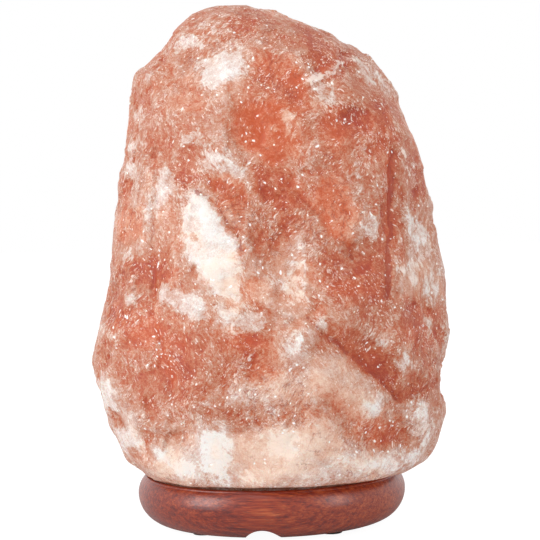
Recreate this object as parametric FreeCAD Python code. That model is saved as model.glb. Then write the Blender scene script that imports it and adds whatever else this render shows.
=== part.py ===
"""Salt crystal lamp: a hewn block of rock salt on a turned wooden base.

The crystal is bored from below for the bulb. A lamp holder with a butterfly clip is pushed
up into the hole of the base from underneath, and the bulb screws into it.
Millimetres, +Z up. The origin is on the axis of the base, on the table.
"""

import FreeCAD, Part

import math
import os

from FreeCAD import Vector

# ---------------------------------------------------------------- driving dimensions
# felt pads under the base
pad_thickness = 1.5
pad_radius = 4.5
pad_angles = {"front_right": -45, "back_right": 45, "back_left": 135, "front_left": 225}

# turned wooden base
base_radius = 57.0
base_rim_inset = 2.8
base_rim_width = 1.5
base_height = 20.8
base_belly_radius = 13.0
base_rim_round = 1.0
dish_depth = 1.5
dish_slope = 0.9
hole_radius = 24.0
recess_ledge = 8.0
recess_depth = 9.0
edge_break = 0.8

# groove for the cord, cut by a round cutter across the front of the underside
cord_groove_radius = 8.7
cord_groove_height = 4.4

# rock salt crystal, turned a little on its base
crystal_height = 199.8
crystal_turn = 4.8
crystal_rim_gap = 1.2
bulb_bore_radius = 28.0
bulb_bore_dome = 18.0
bulb_head_room = 20.0

# screws that hold the crystal
salt_screw_radius = 2.0
salt_screw_head_radius = 4.0
salt_screw_length = 32.0
salt_screw_point = 4.0
salt_screw_sink = 1.0
salt_screw_recess_reach = 2.2
salt_screw_recess_width = 0.9
salt_screw_recess_depth = 0.9
salt_screw_angles = (0, 90, 180)
screw_clearance = 0.08

# lamp holder
holder_radius = 14.0
holder_wall = 1.7
cap_below_recess = 1.5
cap_length = 13.2
cap_floor = 2.0
cap_corner = 3.5
sleeve_length = 11.8
flange_overhang = 1.6
flange_thickness = 1.5
skirt_step = 0.6
skirt_length = 10.5
skirt_chamfer = 0.6
spigot_wall = 1.5
spigot_length = 3.4
fit_gap = 0.1
grip_groove_count = 18
grip_groove_radius = 0.45
grip_groove_stop = 2.0

# cord bush in the cap
cord_bore_radius = 3.1
bush_neck_radius = 4.4
bush_flange_radius = 5.8
bush_flange_thickness = 1.2
bush_taper = 0.6

# ring nut and butterfly clip
ring_nut_wall = 3.3
ring_nut_height = 4.5
ring_nut_scallops = 16
ring_nut_scallop_radius = 0.9
clip_thickness = 0.5
clip_width = 10.0
clip_plate_overhang = 1.4
clip_arm_length = 0.8
wing_gap = 0.25
wing_shoulder_width = 1.2
wing_shoulder_drop = 2.6
wing_wall_gap = 0.3
wing_tab_inset = 1.6
wing_tab_below_recess = 4.3
wing_toe_out = 1.0
wing_toe_drop = 1.6
wing_bend_radius = 1.4

# contacts
block_height = 7.8
block_seat_gap = 0.2
shell_thickness = 0.4
shell_height = 12.4
thread_clearance = 0.25
contact_thickness = 0.5
contact_width = 4.0
contact_bend_radius = 0.4
side_contact_height = 7.0
tongue_gap = 0.1
tongue_rise = 0.75
tongue_curl = 0.5
tongue_reach = 2.4
tongue_slot_reach = 2.6
terminal_reach = 5.4
terminal_foot = 2.6
terminal_screw_radius = 1.5
terminal_head_radius = 2.3
terminal_head_height = 1.8
terminal_screw_length = 6.4
terminal_slot_width = 0.7
terminal_slot_depth = 0.8

# bulb
bulb_length = 57.0
bulb_radius = 13.0
bulb_straight_length = 10.0
bulb_glass_wall = 0.7
bulb_seat_height = 1.6
bulb_tip_radius = 2.4
bulb_tip_height = 1.6
bulb_insulator_height = 2.2
bulb_cap_radius = 6.9
bulb_cap_length = 15.0
bulb_cap_corner = 1.0
bulb_cap_flare = 1.4
bulb_cap_flare_length = 3.6
bulb_neck_gap = 0.2
glass_in_cap = 1.0
stem_radius = 3.0
stem_foot = 1.2
stem_neck = 3.3
stem_length = 11.0
lead_radius = 0.3
lead_foot_spread = 1.4
lead_spread = 4.2
lead_length = 9.0
filament_coil_radius = 0.9

# ---------------------------------------------------------------- worked-out places
base_bottom = pad_thickness
base_top = base_bottom + base_height
base_foot_radius = base_radius - base_belly_radius
base_rim_radius = base_radius - base_rim_inset
rim_inner_radius = base_rim_radius - base_rim_width
dish_radius = rim_inner_radius - dish_slope
dish_floor = base_top - dish_depth
recess_top = base_bottom + recess_depth
recess_radius = hole_radius + recess_ledge
fixing_circle_radius = (recess_radius + base_foot_radius) / 2

cap_bottom = recess_top - cap_below_recess
cap_top = cap_bottom + cap_length
cap_bore_radius = holder_radius - holder_wall
spigot_radius = cap_bore_radius - fit_gap
chamber_radius = spigot_radius - spigot_wall
sleeve_top = cap_top + sleeve_length
flange_radius = holder_radius + flange_overhang
flange_top = sleeve_top + flange_thickness
skirt_radius = holder_radius - skirt_step
skirt_top = flange_top + skirt_length
clip_bore_radius = skirt_radius + fit_gap
clip_plate_radius = flange_radius + clip_plate_overhang
clip_bend_reach = clip_plate_radius + clip_arm_length
clip_top = flange_top + clip_thickness

block_bottom = cap_top + block_seat_gap
block_top = block_bottom + block_height
shell_inner_radius = bulb_cap_radius + thread_clearance
shell_outer_radius = shell_inner_radius + shell_thickness
side_contact_reach = shell_outer_radius + fit_gap + contact_thickness
socket_bore_radius = math.hypot(side_contact_reach, contact_width / 2) + fit_gap
contact_foot = block_bottom - contact_thickness

tip_bottom = block_top + bulb_seat_height
bulb_top = tip_bottom + bulb_length
bulb_bore_top = bulb_top + bulb_head_room
bulb_cap_bottom = tip_bottom + bulb_tip_height + bulb_insulator_height
bulb_cap_top = bulb_cap_bottom + bulb_cap_length
bulb_flare_radius = bulb_cap_radius + bulb_cap_flare
bulb_neck_radius = bulb_flare_radius - shell_thickness - bulb_neck_gap
glass_bottom = bulb_cap_top - glass_in_cap
stem_top = glass_bottom + stem_length

ORIGIN = Vector(0, 0, 0)
UP = Vector(0, 0, 1)


# ---------------------------------------------------------------- helpers
def at(radius, height):
    """A point of a turned outline, in the XZ plane."""
    return Vector(radius, 0, height)


def line(start, end):
    return Part.LineSegment(start, end).toShape()


def arc(start, through, end):
    return Part.Arc(start, through, end).toShape()


def tangent_arc(start, heading, end):
    """The arc from start to end that leaves start along heading."""
    chord = end - start
    side = chord - heading * heading.dot(chord)
    radius = chord.dot(chord) / (2 * side.Length)
    centre = start + side.normalize() * radius
    middle = ((start - centre).normalize() + (end - centre).normalize()).normalize()
    return arc(start, centre + middle * radius, end)


def turned(edges):
    """The solid that a closed outline of edges sweeps round the Z axis."""
    wire = Part.Wire(Part.__sortEdges__(edges))
    return Part.Face(wire).revolve(ORIGIN, UP, 360)


def turned_corners(*corners):
    """A turned solid whose outline is a polygon of (radius, height) corners."""
    points = [at(*corner) for corner in corners]
    return turned([line(a, b) for a, b in zip(points, points[1:] + points[:1])])


def cylinder(radius, bottom, top, x=0.0, y=0.0):
    return Part.makeCylinder(radius, top - bottom, Vector(x, y, bottom))


def tube(outer, inner, bottom, top):
    return cylinder(outer, bottom, top).cut(cylinder(inner, bottom - 1, top + 1))


def block_between(low, high):
    """A box from its low corner to its high one."""
    size = [b - a for a, b in zip(low, high)]
    return Part.makeBox(*size, Vector(*low))


def on_circle(radius, degrees):
    """X and Y of a point on a circle about the Z axis."""
    turn = math.radians(degrees)
    return radius * math.cos(turn), radius * math.sin(turn)


def flat_face(*corners):
    return Part.Face(Part.makePolygon([*corners, corners[0]]))


def solid_of(faces):
    solid = Part.Solid(Part.Shell(faces))
    if solid.Volume < 0:
        solid.reverse()
    return solid


def pyramid(base, apex):
    """A solid from a closed flat outline of corners to one point."""
    sides = [flat_face(a, b, apex) for a, b in zip(base, base[1:] + base[:1])]
    return solid_of(sides + [flat_face(*base)])


def turn_z(shape, degrees):
    copy = shape.copy()
    copy.rotate(ORIGIN, UP, degrees)
    return copy


def bend_side(path, shift, radius):
    """One side of a bent strip: the path moved sideways by shift, with an arc at each bend."""
    directions = [(b - a).normalize() for a, b in zip(path, path[1:])]
    normals = [Vector(-d.z, 0, d.x) for d in directions]
    corners = [path[0] + normals[0] * shift]
    for before, after, corner in zip(normals, normals[1:], path[1:-1]):
        corners.append(corner + (before + after) * (shift / (1 + before.dot(after))))
    corners.append(path[-1] + normals[-1] * shift)
    edges = []
    last = corners[0]
    for index, corner in enumerate(corners[1:-1]):
        came, goes = directions[index], directions[index + 1]
        turn = math.acos(max(-1.0, min(1.0, came.dot(goes))))
        left_hand = came.cross(goes).y < 0
        arc_radius = radius - shift if left_hand else radius + shift
        reach = arc_radius * math.tan(turn / 2)
        start, end = corner - came * reach, corner + goes * reach
        inward = (goes - came).normalize()
        middle = corner + inward * (arc_radius / math.cos(turn / 2) - arc_radius)
        edges.append(line(last, start))
        edges.append(Part.Arc(start, middle, end).toShape())
        last = end
    edges.append(line(last, corners[-1]))
    return edges, corners[0], corners[-1]


def bent_strip(path, thickness, width, radius):
    """A strip of sheet metal bent along a path in the XZ plane."""
    upper, upper_start, upper_end = bend_side(path, thickness / 2, radius)
    lower, lower_start, lower_end = bend_side(path, -thickness / 2, radius)
    ends = [line(upper_start, lower_start), line(upper_end, lower_end)]
    face = Part.Face(Part.Wire(Part.__sortEdges__(upper + lower + ends)))
    face.translate(Vector(0, -width / 2, 0))
    return face.extrude(Vector(0, width, 0))


# ---------------------------------------------------------------- crystal
# Reach of the block at each height above its foot: left, right, front and back.
# The block and everything hewn off it are listed for the height of the last row
# and grow or shrink with crystal_height.
crystal_levels = [
    # height, left, right, front, back
    (3.0, 54.6, 59.4, 55.6, 54.0),
    (8.0, 60.6, 67.6, 58.8, 57.5),
    (13.0, 63.6, 70.2, 61.2, 60.5),
    (25.0, 68.6, 75.0, 64.5, 64.5),
    (36.0, 72.0, 73.6, 65.5, 66.0),
    (45.0, 73.8, 74.6, 65.5, 66.0),
    (54.0, 74.7, 76.2, 65.0, 65.8),
    (60.0, 72.8, 77.0, 64.5, 65.5),
    (79.0, 68.0, 75.4, 62.5, 64.0),
    (100.0, 64.7, 72.4, 58.0, 61.0),
    (122.0, 62.6, 69.0, 53.5, 57.0),
    (144.0, 58.2, 63.8, 47.5, 52.0),
    (163.0, 55.6, 55.6, 41.5, 46.0),
    (172.0, 53.2, 49.6, 37.0, 41.0),
    (178.0, 44.8, 44.6, 34.0, 38.0),
    (188.5, 37.2, 25.8, 26.0, 30.0),
    (195.0, 30.0, 11.2, 17.0, 20.0),
    (199.8, 18.0, -6.3, 6.0, 7.0),
]
crystal_facet_height = 9.7
crystal_corners = 22
crystal_squareness = 2.35
corner_wander = 4.5
corner_lift = 3.2
hewn_roughness = 0.014
foot_flatness = 0.93
foot_squareness = 2.1

# Broad swells of the block, and hollows where the rise is negative.
swells = [
    # direction from the front towards the right and height of the middle, half turn, half height, rise
    (-4, 10, 40, 24, 1.8),
    (15, 66, 22, 34, 2.2),
    (-22, 92, 20, 34, 2.2),
    (0, 120, 20, 30, -2.4),
    (-4, 152, 26, 26, 1.6),
    (44, 158, 24, 26, 2.0),
    (40, 30, 22, 22, -2.0),
    (-50, 102, 18, 40, -1.8),
    (-62, 60, 24, 30, 1.6),
    (74, 96, 20, 44, 1.6),
    (-116, 96, 24, 40, -2.0),
    (-140, 60, 30, 36, 2.4),
    (-150, 128, 28, 34, -2.2),
    (178, 84, 26, 40, 2.0),
    (146, 112, 24, 40, -2.0),
    (116, 56, 28, 34, 2.0),
    (120, 140, 26, 30, -1.8),
]

# Flat faces split off the block.
cleavage_faces = [
    # direction, lean back, height of the middle, reach there
    (-28, 30, 157, 47.2),
    (14, 16, 147, 47.6),
    (52, 38, 169, 45.4),
    (63, 7, 91, 69.0),
    (-66, 12, 129, 58.8),
    (-34, 4, 75, 65.0),
    (26, -7, 49, 68.0),
    (-14, -16, 23, 61.5),
    (-75, -20, 21, 69.6),
    (70, -14, 27, 74.2),
    (118, 12, 129, 58.5),
    (150, 26, 155, 46.5),
    (-148, 18, 139, 51.0),
    (-112, 8, 69, 67.0),
    (176, 5, 79, 63.5),
    (135, -8, 39, 69.0),
    (-132, -12, 31, 67.0),
]

# Long shallow clefts where two faces meet.
clefts = [
    # direction and height of the middle, slant to the right, half length, half width, depth
    (51, 110, 4, 40, 6.0, 3.6),
    (31, 57, -48, 33, 8.0, 3.2),
    (-16, 112, -38, 22, 6.0, 2.6),
    (5, 104, -14, 40, 14.0, 2.2),
    (-46, 100, 6, 36, 8.0, 2.2),
    (34, 170, 46, 20, 7.0, 2.2),
    (41, 24, 34, 18, 9.0, 2.2),
    (-30, 26, 40, 20, 9.0, 2.0),
    (-165, 108, 15, 44, 10.0, 3.4),
    (118, 88, -12, 44, 10.0, 3.2),
    (-96, 70, 22, 38, 9.0, 2.8),
]
cleft_overshoot = 15.0
cleft_feeler = 18.0


def outline_point(reaches, squareness, angle, height):
    """A point of a squarish oval with its own reach to the left, right, front and back."""
    left, right, front, back = reaches
    cos, sin = math.cos(angle), math.sin(angle)
    oval = (abs(cos) ** squareness + abs(sin) ** squareness) ** (-1 / squareness)
    middle_x, middle_y = (right - left) / 2, (back - front) / 2
    half_x, half_y = (right + left) / 2, (back + front) / 2
    return Vector(middle_x + half_x * oval * cos, middle_y + half_y * oval * sin, height)


def facet_levels(growth):
    """The listed rows at the block's size, with even steps between them where a facet would be too tall."""
    rows = [[growth * value for value in row] for row in crystal_levels]
    levels = []
    for low, high in zip(rows, rows[1:]):
        steps = math.ceil((high[0] - low[0]) / crystal_facet_height)
        for step in range(steps):
            levels.append([a + (b - a) * step / steps for a, b in zip(low, high)])
    return levels + [rows[-1]]


def swell_at(point, growth):
    """How far the swells and hollows move a point of the block outwards."""
    direction = math.degrees(math.atan2(point.x, -point.y))
    total = 0.0
    for middle, height, half_turn, half_height, rise in swells:
        turn = (direction - middle + 180) % 360 - 180
        away = math.hypot(turn / half_turn, (point.z / growth - height) / half_height)
        total += rise * growth * max(0.0, 1 - away * away) ** 2
    return total


def crystal_section(level, growth, height, *reaches):
    """One outline of the block. Its hewn corners wander round it, in and out and up and down,
    but not at the far left and right, and the outlines of the foot and the top stay flat."""
    share = height / crystal_height
    freedom = min(1.0, 4 * share, 4 * (1 - share))
    points = []
    for corner in range(crystal_corners):
        wander = corner_wander * math.sin(1.9 * level + 2.3 * corner)
        angle = math.radians(360 * corner / crystal_corners + wander)
        inner = abs(math.sin(angle))
        rough = hewn_roughness * inner * math.sin(2.7 * level + 4.1 * corner)
        lift = corner_lift * inner * freedom * math.sin(0.9 * level + 1.7 * corner)
        point = outline_point(reaches, crystal_squareness, angle, height + lift)
        swell = swell_at(point, growth) / math.hypot(point.x, point.y)
        points.append(Vector(point.x * (1 + swell), point.y * (1 + swell + rough), point.z))
    return points


def foot_section(height, radius):
    """An outline of the block's foot, dressed round to stand inside the rim of the base."""
    reaches = (radius, radius, radius * foot_flatness, radius * foot_flatness)
    points = []
    for corner in range(crystal_corners):
        angle = 2 * math.pi * corner / crystal_corners
        points.append(outline_point(reaches, foot_squareness, angle, height))
    return points


def hewn_block(sections):
    """A solid of flat faces: between two outlines each side is split in two along its prouder diagonal."""
    faces = [flat_face(*sections[0]), flat_face(*sections[-1])]
    for low, high in zip(sections, sections[1:]):
        for a, b, c, d in zip(low, low[1:] + low[:1], high[1:] + high[:1], high):
            if math.hypot(*(a + c)[:2]) > math.hypot(*(b + d)[:2]):
                faces += [flat_face(a, b, c), flat_face(a, c, d)]
            else:
                faces += [flat_face(a, b, d), flat_face(b, c, d)]
    return solid_of(faces)


def facing(direction, lean=0.0):
    """Unit vector out of a face: 0 is the front, 90 the right, and lean tips it up."""
    turn, tip = math.radians(direction), math.radians(lean)
    return Vector(math.sin(turn) * math.cos(tip), -math.cos(turn) * math.cos(tip), math.sin(tip))


def waste_beyond(point, outward):
    """A block that fills everything beyond the plane through point."""
    size = 2 * crystal_height
    waste = Part.makeBox(size, size, size, Vector(-size / 2, -size / 2, 0))
    waste.Placement = FreeCAD.Placement(point, FreeCAD.Rotation(UP, outward)).multiply(waste.Placement)
    return waste


def surface_point(block, direction, height):
    """Where a level ray from the axis leaves the block."""
    start = Vector(0, 0, height)
    ray = Part.makeLine(start, start + facing(direction) * crystal_height)
    ends = [vertex.Point for vertex in block.common(ray).Vertexes]
    return max(ends, key=lambda end: (end - start).Length)


def cleft(block, direction, height, slant, half_length, half_width, depth):
    """A flat pyramid whose point sinks into the block and whose long base lies well outside it."""
    above = surface_point(block, direction, height + cleft_feeler)
    below = surface_point(block, direction, height - cleft_feeler)
    slope, sideways = (above - below).normalize(), facing(direction + 90)
    outward = sideways.cross(slope)
    tilt = math.radians(slant)
    along = slope * math.cos(tilt) + sideways * math.sin(tilt)
    across = along.cross(outward)
    middle = surface_point(block, direction, height)
    mouth = middle + outward * cleft_overshoot
    spread = (depth + cleft_overshoot) / depth
    long_reach, cross_reach = along * half_length * spread, across * half_width * spread
    base = [mouth + long_reach, mouth + cross_reach, mouth - long_reach, mouth - cross_reach]
    return pyramid(base, middle - outward * depth)


def bulb_bore(top):
    """The bore for the bulb, from below the foot up to its dome."""
    mouth = -5.0
    spring = top - bulb_bore_dome
    crown = bulb_bore_radius - bulb_bore_dome
    return turned(
        [
            line(at(0, mouth), at(bulb_bore_radius, mouth)),
            line(at(bulb_bore_radius, mouth), at(bulb_bore_radius, spring)),
            tangent_arc(at(bulb_bore_radius, spring), UP, at(crown, top)),
            line(at(crown, top), at(0, top)),
            line(at(0, top), at(0, mouth)),
        ]
    )


def make_crystal():
    """The block is hewn standing on z = 0, then set down in the dish of the base."""
    foot_radius = dish_radius - crystal_rim_gap
    foot_top = dish_depth + crystal_rim_gap / 2
    sections = [foot_section(0, foot_radius), foot_section(foot_top, foot_radius + dish_slope)]
    growth = crystal_height / crystal_levels[-1][0]
    for level, row in enumerate(facet_levels(growth)):
        if row[0] > foot_top:
            sections.append(crystal_section(level, growth, *row))
    block = hewn_block(sections)
    for direction, lean, height, reach in cleavage_faces:
        point = (facing(direction) * reach + UP * height) * growth
        block = block.cut(waste_beyond(point, facing(direction, lean)))
    for direction, height, slant, *sizes in clefts:
        sizes = [growth * value for value in sizes]
        block = block.cut(cleft(block, direction, growth * height, slant, *sizes))
    block = turn_z(block, crystal_turn)
    block = block.cut(bulb_bore(bulb_bore_top - dish_floor))
    block.translate(UP * dish_floor)
    for angle in salt_screw_angles:
        block = block.cut(salt_screw_hole(angle))
    return block


# ---------------------------------------------------------------- wooden base and fixings
def salt_screw(angle):
    """A countersunk wood screw with a cross recess, head down."""
    head = base_bottom + salt_screw_sink
    neck = head + salt_screw_head_radius - salt_screw_radius
    tip = head + salt_screw_length
    screw = turned_corners(
        (0, head),
        (salt_screw_head_radius, head),
        (salt_screw_radius, neck),
        (salt_screw_radius, tip - salt_screw_point),
        (0, tip),
    )
    reach, half = salt_screw_recess_reach, salt_screw_recess_width / 2
    slot = block_between((-reach, -half, head - 1), (reach, half, head + salt_screw_recess_depth))
    screw = screw.cut(slot).cut(turn_z(slot, 90))
    screw.translate(Vector(*on_circle(fixing_circle_radius, angle), 0))
    return screw


def salt_screw_hole(angle):
    """Clearance for a screw, with its countersink."""
    head = base_bottom + salt_screw_sink
    bore = salt_screw_radius + screw_clearance
    seat = salt_screw_head_radius + screw_clearance
    tip = head + salt_screw_length + screw_clearance
    hole = turned_corners(
        (0, base_bottom - 1),
        (seat, base_bottom - 1),
        (seat, head),
        (bore, head + seat - bore),
        (bore, tip - salt_screw_point),
        (0, tip),
    )
    hole.translate(Vector(*on_circle(fixing_circle_radius, angle), 0))
    return hole


def make_base():
    widest = base_bottom + base_belly_radius
    corners = [
        at(base_rim_radius - base_rim_round, base_top),
        at(rim_inner_radius, base_top),
        at(dish_radius, dish_floor),
        at(hole_radius, dish_floor),
        at(hole_radius, recess_top + edge_break),
        at(hole_radius + edge_break, recess_top),
        at(recess_radius, recess_top),
        at(recess_radius, base_bottom + edge_break),
        at(recess_radius + edge_break, base_bottom),
        at(base_foot_radius, base_bottom),
    ]
    edges = [line(a, b) for a, b in zip(corners, corners[1:])]
    rim_edge = at(base_rim_radius, base_top - base_rim_round)
    edges.append(tangent_arc(at(base_radius, widest), -UP, corners[-1]))
    edges.append(tangent_arc(at(base_radius, widest), UP, rim_edge))
    edges.append(tangent_arc(corners[0], Vector(1, 0, 0), rim_edge))
    base = turned(edges)
    groove_start = Vector(0, -hole_radius, base_bottom + cord_groove_height - cord_groove_radius)
    base = base.cut(Part.makeCylinder(cord_groove_radius, base_radius, groove_start, Vector(0, -1, 0)))
    for angle in salt_screw_angles:
        base = base.cut(salt_screw_hole(angle))
    return base


def make_pads():
    pads = {}
    for corner, angle in pad_angles.items():
        x, y = on_circle(fixing_circle_radius, angle)
        pads["foot_pad_" + corner] = cylinder(pad_radius, 0, pad_thickness, x, y)
    return pads


# ---------------------------------------------------------------- lamp holder
def make_cap():
    """Bottom cap of the holder, with the hole for the cord bush and grooves to grip it by."""
    corners = [
        at(holder_radius, cap_bottom + cap_corner),
        at(holder_radius, cap_top),
        at(cap_bore_radius, cap_top),
        at(cap_bore_radius, cap_bottom + cap_floor),
        at(bush_neck_radius, cap_bottom + cap_floor),
        at(bush_neck_radius, cap_bottom),
        at(holder_radius - cap_corner, cap_bottom),
    ]
    edges = [line(a, b) for a, b in zip(corners, corners[1:])]
    edges.append(tangent_arc(corners[0], -UP, corners[-1]))
    cap = turned(edges)
    for groove in range(grip_groove_count):
        x, y = on_circle(holder_radius, 360 * groove / grip_groove_count)
        cap = cap.cut(cylinder(grip_groove_radius, cap_bottom, cap_top - grip_groove_stop, x, y))
    return cap


def make_sleeve():
    """Body of the holder: spigot into the cap, chamber for the contact block, flange and skirt."""
    return turned_corners(
        (chamber_radius, cap_top - spigot_length),
        (spigot_radius, cap_top - spigot_length),
        (spigot_radius, cap_top),
        (holder_radius, cap_top),
        (holder_radius, sleeve_top),
        (flange_radius, sleeve_top),
        (flange_radius, flange_top),
        (skirt_radius, flange_top),
        (skirt_radius, skirt_top - skirt_chamfer),
        (skirt_radius - skirt_chamfer, skirt_top),
        (socket_bore_radius + skirt_chamfer, skirt_top),
        (socket_bore_radius, skirt_top - skirt_chamfer),
        (socket_bore_radius, block_top),
        (chamber_radius, block_top),
    )


def make_ring_nut():
    """Nut on the skirt that clamps the clip to the flange, scalloped for the fingers."""
    radius = clip_bore_radius + ring_nut_wall
    top = clip_top + ring_nut_height
    nut = tube(radius, clip_bore_radius, clip_top, top)
    for scallop in range(ring_nut_scallops):
        x, y = on_circle(radius + ring_nut_scallop_radius / 2, 360 * (scallop + 0.5) / ring_nut_scallops)
        nut = nut.cut(cylinder(ring_nut_scallop_radius, clip_top - 1, top + 1, x, y))
    return nut


def make_clip_plate():
    """Middle of the spring strip: a ring with an arm on each side, up to the bend lines."""
    ring = cylinder(clip_plate_radius, flange_top, clip_top)
    half = clip_width / 2
    arms = block_between((-clip_bend_reach, -half, flange_top), (clip_bend_reach, half, clip_top))
    return ring.fuse(arms).cut(cylinder(clip_bore_radius, 0, skirt_top)).removeSplitter()


def make_wing(side):
    """One springy wing of the strip: down and out to the wall of the hole, then in to a finger tab."""
    bend = clip_bend_reach + wing_gap
    bend_height = flange_top + clip_thickness / 2
    knee = math.sqrt((hole_radius - wing_wall_gap) ** 2 - (clip_width / 2) ** 2) - clip_thickness / 2
    tab = knee - wing_tab_inset
    tab_height = recess_top - wing_tab_below_recess
    path = [
        at(bend, bend_height),
        at(bend + wing_shoulder_width, bend_height - wing_shoulder_drop),
        at(knee, (recess_top + dish_floor) / 2),
        at(tab, tab_height),
        at(tab + wing_toe_out, tab_height - wing_toe_drop),
    ]
    wing = bent_strip(path, clip_thickness, clip_width, wing_bend_radius)
    return wing if side == "right" else turn_z(wing, 180)


def make_bush():
    """Rubber bush that guides the cord through the cap."""
    inner = cap_bottom + cap_floor
    bottom = cap_bottom - bush_flange_thickness
    top = inner + bush_flange_thickness
    return turned_corners(
        (cord_bore_radius, bottom),
        (bush_flange_radius - bush_taper, bottom),
        (bush_flange_radius, cap_bottom),
        (bush_neck_radius, cap_bottom),
        (bush_neck_radius, inner),
        (bush_flange_radius, inner),
        (bush_flange_radius - bush_taper, top),
        (cord_bore_radius, top),
    )


def terminal_hole(x):
    """Hole for a terminal screw, through the contact's foot and up into the block."""
    top = contact_foot + terminal_screw_length
    return cylinder(terminal_screw_radius + fit_gap / 2, contact_foot - 1, top, x)


def contact_slot(middle):
    """Slot through the block for a contact strip whose middle plane stands at x = middle."""
    half_x, half_y = contact_thickness / 2 + fit_gap, contact_width / 2 + fit_gap
    low = (middle - half_x, -half_y, block_bottom - 1)
    high = (middle + half_x, half_y, block_top + 1)
    return block_between(low, high)


def make_contact_block():
    """Insulating block that carries both contacts and their terminal screws."""
    block = cylinder(chamber_radius - fit_gap, block_bottom, block_top)
    block = block.cut(contact_slot(-tongue_slot_reach))
    block = block.cut(contact_slot(side_contact_reach - contact_thickness / 2))
    for x in (-terminal_reach, terminal_reach):
        block = block.cut(terminal_hole(x))
    return block


def make_shell():
    return tube(shell_outer_radius, shell_inner_radius, block_top, block_top + shell_height)


def make_centre_contact():
    """Spring tongue under the bulb's tip, down through the block to its terminal."""
    foot = contact_foot + contact_thickness / 2
    tongue = tip_bottom - tongue_gap - contact_thickness / 2
    path = [
        at(-terminal_reach - terminal_foot, foot),
        at(-tongue_slot_reach, foot),
        at(-tongue_slot_reach, block_top + tongue_rise),
        at(0.0, tongue),
        at(tongue_reach, tongue - tongue_curl),
    ]
    strip = bent_strip(path, contact_thickness, contact_width, contact_bend_radius)
    return strip.cut(terminal_hole(-terminal_reach))


def make_side_contact():
    """Strip beside the threaded shell, down through the block to its terminal."""
    foot = contact_foot + contact_thickness / 2
    reach = side_contact_reach - contact_thickness / 2
    top = block_top + side_contact_height
    path = [at(terminal_reach - terminal_foot, foot), at(reach, foot), at(reach, top)]
    strip = bent_strip(path, contact_thickness, contact_width, contact_bend_radius)
    return strip.cut(terminal_hole(terminal_reach))


def make_terminal_screws():
    screws = []
    head_bottom = contact_foot - terminal_head_height
    half = terminal_slot_width / 2
    for x in (-terminal_reach, terminal_reach):
        head = cylinder(terminal_head_radius, head_bottom, contact_foot, x)
        shank = cylinder(terminal_screw_radius, contact_foot, contact_foot + terminal_screw_length, x)
        slot_low = (x - terminal_head_radius, -half, head_bottom - 1)
        slot_high = (x + terminal_head_radius, half, head_bottom + terminal_slot_depth)
        screws.append(head.fuse(shank).cut(block_between(slot_low, slot_high)))
    return Part.makeCompound(screws)


# ---------------------------------------------------------------- bulb
def make_bulb_tip():
    """Solder blob on the bulb's axis."""
    top = tip_bottom + bulb_tip_height
    blob = tangent_arc(at(0, tip_bottom), Vector(1, 0, 0), at(bulb_tip_radius, top))
    return turned([blob, line(at(bulb_tip_radius, top), at(0, top)), line(at(0, top), at(0, tip_bottom))])


def make_bulb_insulator():
    low = tip_bottom + bulb_tip_height
    return turned_corners(
        (0, low),
        (bulb_tip_radius + 0.6, low),
        (bulb_cap_radius - bulb_cap_corner, bulb_cap_bottom),
        (0, bulb_cap_bottom),
    )


def make_bulb_cap():
    """Metal cap, a thin cup that flares at the top to hold the glass."""
    wall = shell_thickness
    flare_bottom = bulb_cap_top - bulb_cap_flare_length
    flare_top = flare_bottom + bulb_cap_flare
    return turned_corners(
        (0, bulb_cap_bottom),
        (bulb_cap_radius - bulb_cap_corner, bulb_cap_bottom),
        (bulb_cap_radius, bulb_cap_bottom + bulb_cap_corner),
        (bulb_cap_radius, flare_bottom),
        (bulb_flare_radius, flare_top),
        (bulb_flare_radius, bulb_cap_top),
        (bulb_flare_radius - wall, bulb_cap_top),
        (bulb_flare_radius - wall, flare_top + wall / 2),
        (bulb_cap_radius - wall, flare_bottom + wall / 2),
        (bulb_cap_radius - wall, bulb_cap_bottom + wall),
        (0, bulb_cap_bottom + wall),
    )


def bulb_outline(inset):
    """Edges of the glass from its neck to the axis, moved inwards by inset."""
    neck, body = bulb_neck_radius - inset, bulb_radius - inset
    spring = bulb_top - bulb_radius
    shoulder = spring - bulb_straight_length
    swell = at((neck + body) / 2, (glass_bottom + shoulder) / 2)
    return [
        tangent_arc(at(neck, glass_bottom), UP, swell),
        tangent_arc(at(body, shoulder), -UP, swell),
        line(at(body, shoulder), at(body, spring)),
        tangent_arc(at(body, spring), UP, at(0, bulb_top - inset)),
    ]


def make_bulb_glass():
    outer, inner = bulb_outline(0), bulb_outline(bulb_glass_wall)
    rim = line(at(bulb_neck_radius, glass_bottom), at(bulb_neck_radius - bulb_glass_wall, glass_bottom))
    crown = line(at(0, bulb_top), at(0, bulb_top - bulb_glass_wall))
    return turned(outer + inner + [rim, crown])


def make_bulb_stem():
    """Glass foot inside the bulb, sealed to its neck, that carries the lead wires."""
    foot_radius = bulb_neck_radius - bulb_glass_wall
    return turned_corners(
        (0, glass_bottom),
        (foot_radius, glass_bottom),
        (foot_radius, glass_bottom + stem_foot),
        (stem_radius, glass_bottom + stem_foot + stem_neck),
        (stem_radius, stem_top - stem_radius),
        (stem_radius * 0.75, stem_top),
        (0, stem_top),
    )


def make_lead_wires():
    """Two wires that lean out from the stem to the ends of the filament."""
    wires = []
    for side in (-1, 1):
        start = Vector(side * lead_foot_spread, 0, stem_top + fit_gap)
        end = Vector(side * lead_spread, 0, stem_top + lead_length)
        wires.append(Part.makeCylinder(lead_radius, (end - start).Length, start, end - start))
    return Part.makeCompound(wires)


def make_filament():
    """The coiled filament between the tips of the lead wires, as a rod of the coil's outer size."""
    lean = (lead_spread - lead_foot_spread) / lead_length
    half = lead_spread - lean * filament_coil_radius - lead_radius - fit_gap
    start = Vector(-half, 0, stem_top + lead_length)
    return Part.makeCylinder(filament_coil_radius, 2 * half, start, Vector(1, 0, 0))


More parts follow.
